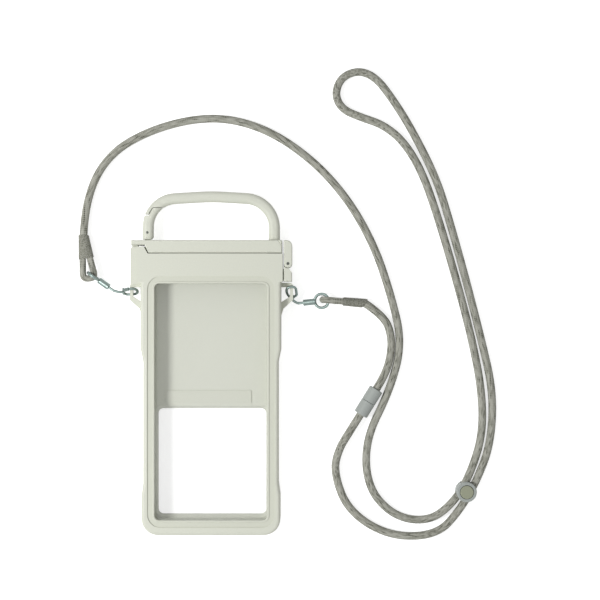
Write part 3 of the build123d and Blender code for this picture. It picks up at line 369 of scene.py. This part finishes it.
def curve_object(name, points, radius, kind, material):
    """A round cord or thread along the points given, in metres."""
    data = bpy.data.curves.new(name, "CURVE")
    data.dimensions = "3D"
    data.bevel_depth = radius
    data.bevel_resolution = CORD_BEVEL_STEPS
    data.resolution_u = CURVE_STEPS
    data.use_fill_caps = True
    spline = data.splines.new(kind)
    spline.points.add(len(points) - 1)
    for place, point in zip(spline.points, points):
        place.co = (*point, 1.0)
    if kind == "NURBS":
        spline.order_u = CURVE_ORDER
        spline.use_endpoint_u = True
    data.materials.append(material)
    made = bpy.data.objects.new(name, data)
    bpy.context.collection.objects.link(made)
    return made


def end_loop(name, loop, node, material):
    """The doubled cord end that holds the swivel's ring."""
    origin, legs, spread = loop
    points = [origin + legs * u + spread * v for u, v in LOOP_SHAPE]
    made = curve_object(name, points, LOOP_D / 2, "NURBS", material)
    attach(made, "case")
    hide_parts(node)
    return made


def binding(name, loop, route, material):
    """Thread wound over the doubled end, from the two legs to the single cord."""
    origin, legs, spread = loop
    neck = origin + legs * LOOP_LEG
    tail = Vector(route[0])
    leave = (Vector(route[1]) - tail).normalized()
    neck_up = legs.cross(spread)
    tail_up = leave.cross(spread).normalized()
    tail_spread = tail_up.cross(leave).normalized()
    steps = BINDING_TURNS * BINDING_STEPS
    points = []
    for step in range(steps + 1):
        share = BINDING_START + BINDING_SPAN * step / steps
        angle = 2 * math.pi * BINDING_TURNS * step / steps
        wide = NECK_WIDE + (TAIL_R - NECK_WIDE) * share
        thick = NECK_THICK + (TAIL_R - NECK_THICK) * share
        across = spread.lerp(tail_spread, share)
        up = neck_up.lerp(tail_up, share)
        sideways = across * wide * math.cos(angle)
        points.append(neck.lerp(tail, share) + sideways + up * thick * math.sin(angle))
    made = curve_object(name, points, THREAD_R, "POLY", material)
    made.data.bevel_resolution = THREAD_BEVEL_STEPS
    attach(made, "case")
    return made


def shorten_spring():
    """Gives the lock's spring a mesh of its own."""
    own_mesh(NODES["lock_spring"])


def place_camera():
    """The camera looks straight down, with the handle at the top of the picture."""
    data = bpy.data.cameras.new("camera")
    data.lens = LENS_MM
    data.sensor_width = SENSOR_MM
    camera = bpy.data.objects.new("camera", data)
    camera.location = (CAMERA_X, CAMERA_Y, CAMERA_Z)
    bpy.context.collection.objects.link(camera)
    bpy.context.scene.camera = camera


def add_light(name, place, size, power):
    """A square soft lamp aimed at the case."""
    data = bpy.data.lights.new(name, "AREA")
    data.energy = power
    data.size = size
    lamp = bpy.data.objects.new(name, data)
    lamp.location = place
    lamp.rotation_euler = (Vector(LAMP_TARGET) - Vector(place)).to_track_quat("-Z", "Y").to_euler()
    bpy.context.collection.objects.link(lamp)


def seen_directly(tree):
    """1 for rays from the camera, a glossy surface or a clear one."""
    rays = tree.nodes.new("ShaderNodeLightPath")
    first = calculate(tree, "MAXIMUM", rays.outputs["Is Camera Ray"], rays.outputs["Is Glossy Ray"])
    return calculate(tree, "MAXIMUM", first, rays.outputs["Is Transmission Ray"])


def white_table():
    """A white table top that keeps faint shadows."""
    bpy.ops.mesh.primitive_plane_add(size=TABLE_SIZE, location=(0, 0, TABLE_Z))
    table = bpy.context.object
    table.name = "table"
    material, tree, shader = new_material("table_white")
    shader.inputs["Base Color"].default_value = rgba(TABLE_GREY)
    shader.inputs["Roughness"].default_value = TABLE_ROUGHNESS
    shader.inputs["Specular IOR Level"].default_value = 0.0
    glow = tree.nodes.new("ShaderNodeEmission")
    glow.inputs["Color"].default_value = rgba(WHITE)
    glow.inputs["Strength"].default_value = TABLE_GLOW
    both = tree.nodes.new("ShaderNodeAddShader")
    tree.links.new(shader.outputs["BSDF"], both.inputs[0])
    tree.links.new(glow.outputs["Emission"], both.inputs[1])
    mix = tree.nodes.new("ShaderNodeMixShader")
    tree.links.new(seen_directly(tree), mix.inputs["Fac"])
    tree.links.new(shader.outputs["BSDF"], mix.inputs[1])
    tree.links.new(both.outputs["Shader"], mix.inputs[2])
    tree.links.new(mix.outputs["Shader"], tree.nodes["Material Output"].inputs["Surface"])
    table.data.materials.append(material)


def white_world():
    """White where it is seen, and soft fill everywhere."""
    world = bpy.data.worlds.new("studio")
    world.use_nodes = True
    tree = world.node_tree
    background = tree.nodes["Background"]
    background.inputs["Color"].default_value = rgba(WHITE)
    strength = calculate(tree, "MULTIPLY_ADD", seen_directly(tree), 1.0 - AMBIENT)
    strength.node.inputs[2].default_value = AMBIENT
    tree.links.new(strength, background.inputs["Strength"])
    bpy.context.scene.world = world


place_camera()
bpy.context.scene.view_settings.view_transform = "Standard"

cord_cells = round(CORD_LENGTH / BRAID_CELL)
cord_braid = braided("cord_braid", cord_cells, BRAID_ROUND)
cord = curve_object("lanyard_cord_braid", CORD_ROUTE, CORD_D / 2, "NURBS", cord_braid)
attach(cord, "case")
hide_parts("lanyard_cord")

short_braid = braided("short_cord_braid", round(SHORT_LENGTH / BRAID_CELL), BRAID_ROUND)
short_cord = curve_object("lanyard_short_cord_braid", SHORT_ROUTE, CORD_D / 2, "NURBS", short_braid)
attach(short_cord, "case")
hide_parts("lanyard_short_cord")

loop_braid = braided("loop_braid", round(LOOP_LENGTH / BRAID_CELL), BRAID_ROUND)
left_loop = end_loop("left_loop_braid", LEFT_LOOP, "left_end_loop", loop_braid)
right_loop = end_loop("right_loop_braid", RIGHT_LOOP, "right_end_loop", loop_braid)

thread = fabric("binding_thread")
left_binding = binding("left_binding", LEFT_LOOP, CORD_ROUTE, thread)
right_binding = binding("right_binding", RIGHT_LOOP, SHORT_ROUTE[::-1], thread)

shell = moulded("shell_satin", SHELL, SHELL_ROUGHNESS)
paint(shell, "front_frame", "lid", "latch_lever", "latch_bracket", "handle_bow", "handle_gate")
paint(moulded("panel_satin", PANEL, PANEL_ROUGHNESS), "back_frame")
paint(moulded("bezel_satin", BEZEL, BEZEL_ROUGHNESS), "front_bezel", "back_bezel", "back_pad")
paint(moulded("seal_rubber", SEAL, SEAL_ROUGHNESS), "frame_seal", "front_window_gasket", "lid_seal")
paint(clear_film("window_film"), "front_window", "back_window")
paint(metal("pin_metal", STEEL, PIN_ROUGHNESS), "hinge_pin", "latch_pin", "gate_pin", "lock_spring")
shorten_spring()
plated = metal("hook_plated", PLATED, HOOK_ROUGHNESS)
paint(plated, "left_hook", "left_hook_gate", "left_swivel_eye")
paint(plated, "right_hook", "right_hook_gate", "right_swivel_eye")
paint(moulded("fitting_grey", FITTING, FITTING_ROUGHNESS), "buckle_plug", "buckle_socket", "lock_body")
paint(moulded("button_olive", BUTTON, BUTTON_ROUGHNESS), "lock_button")
paint(thread, "left_whipping", "right_whipping")

white_table()
white_world()
add_light("key", KEY_PLACE, KEY_SIZE, KEY_POWER)
add_light("fill", FILL_PLACE, FILL_SIZE, FILL_POWER)
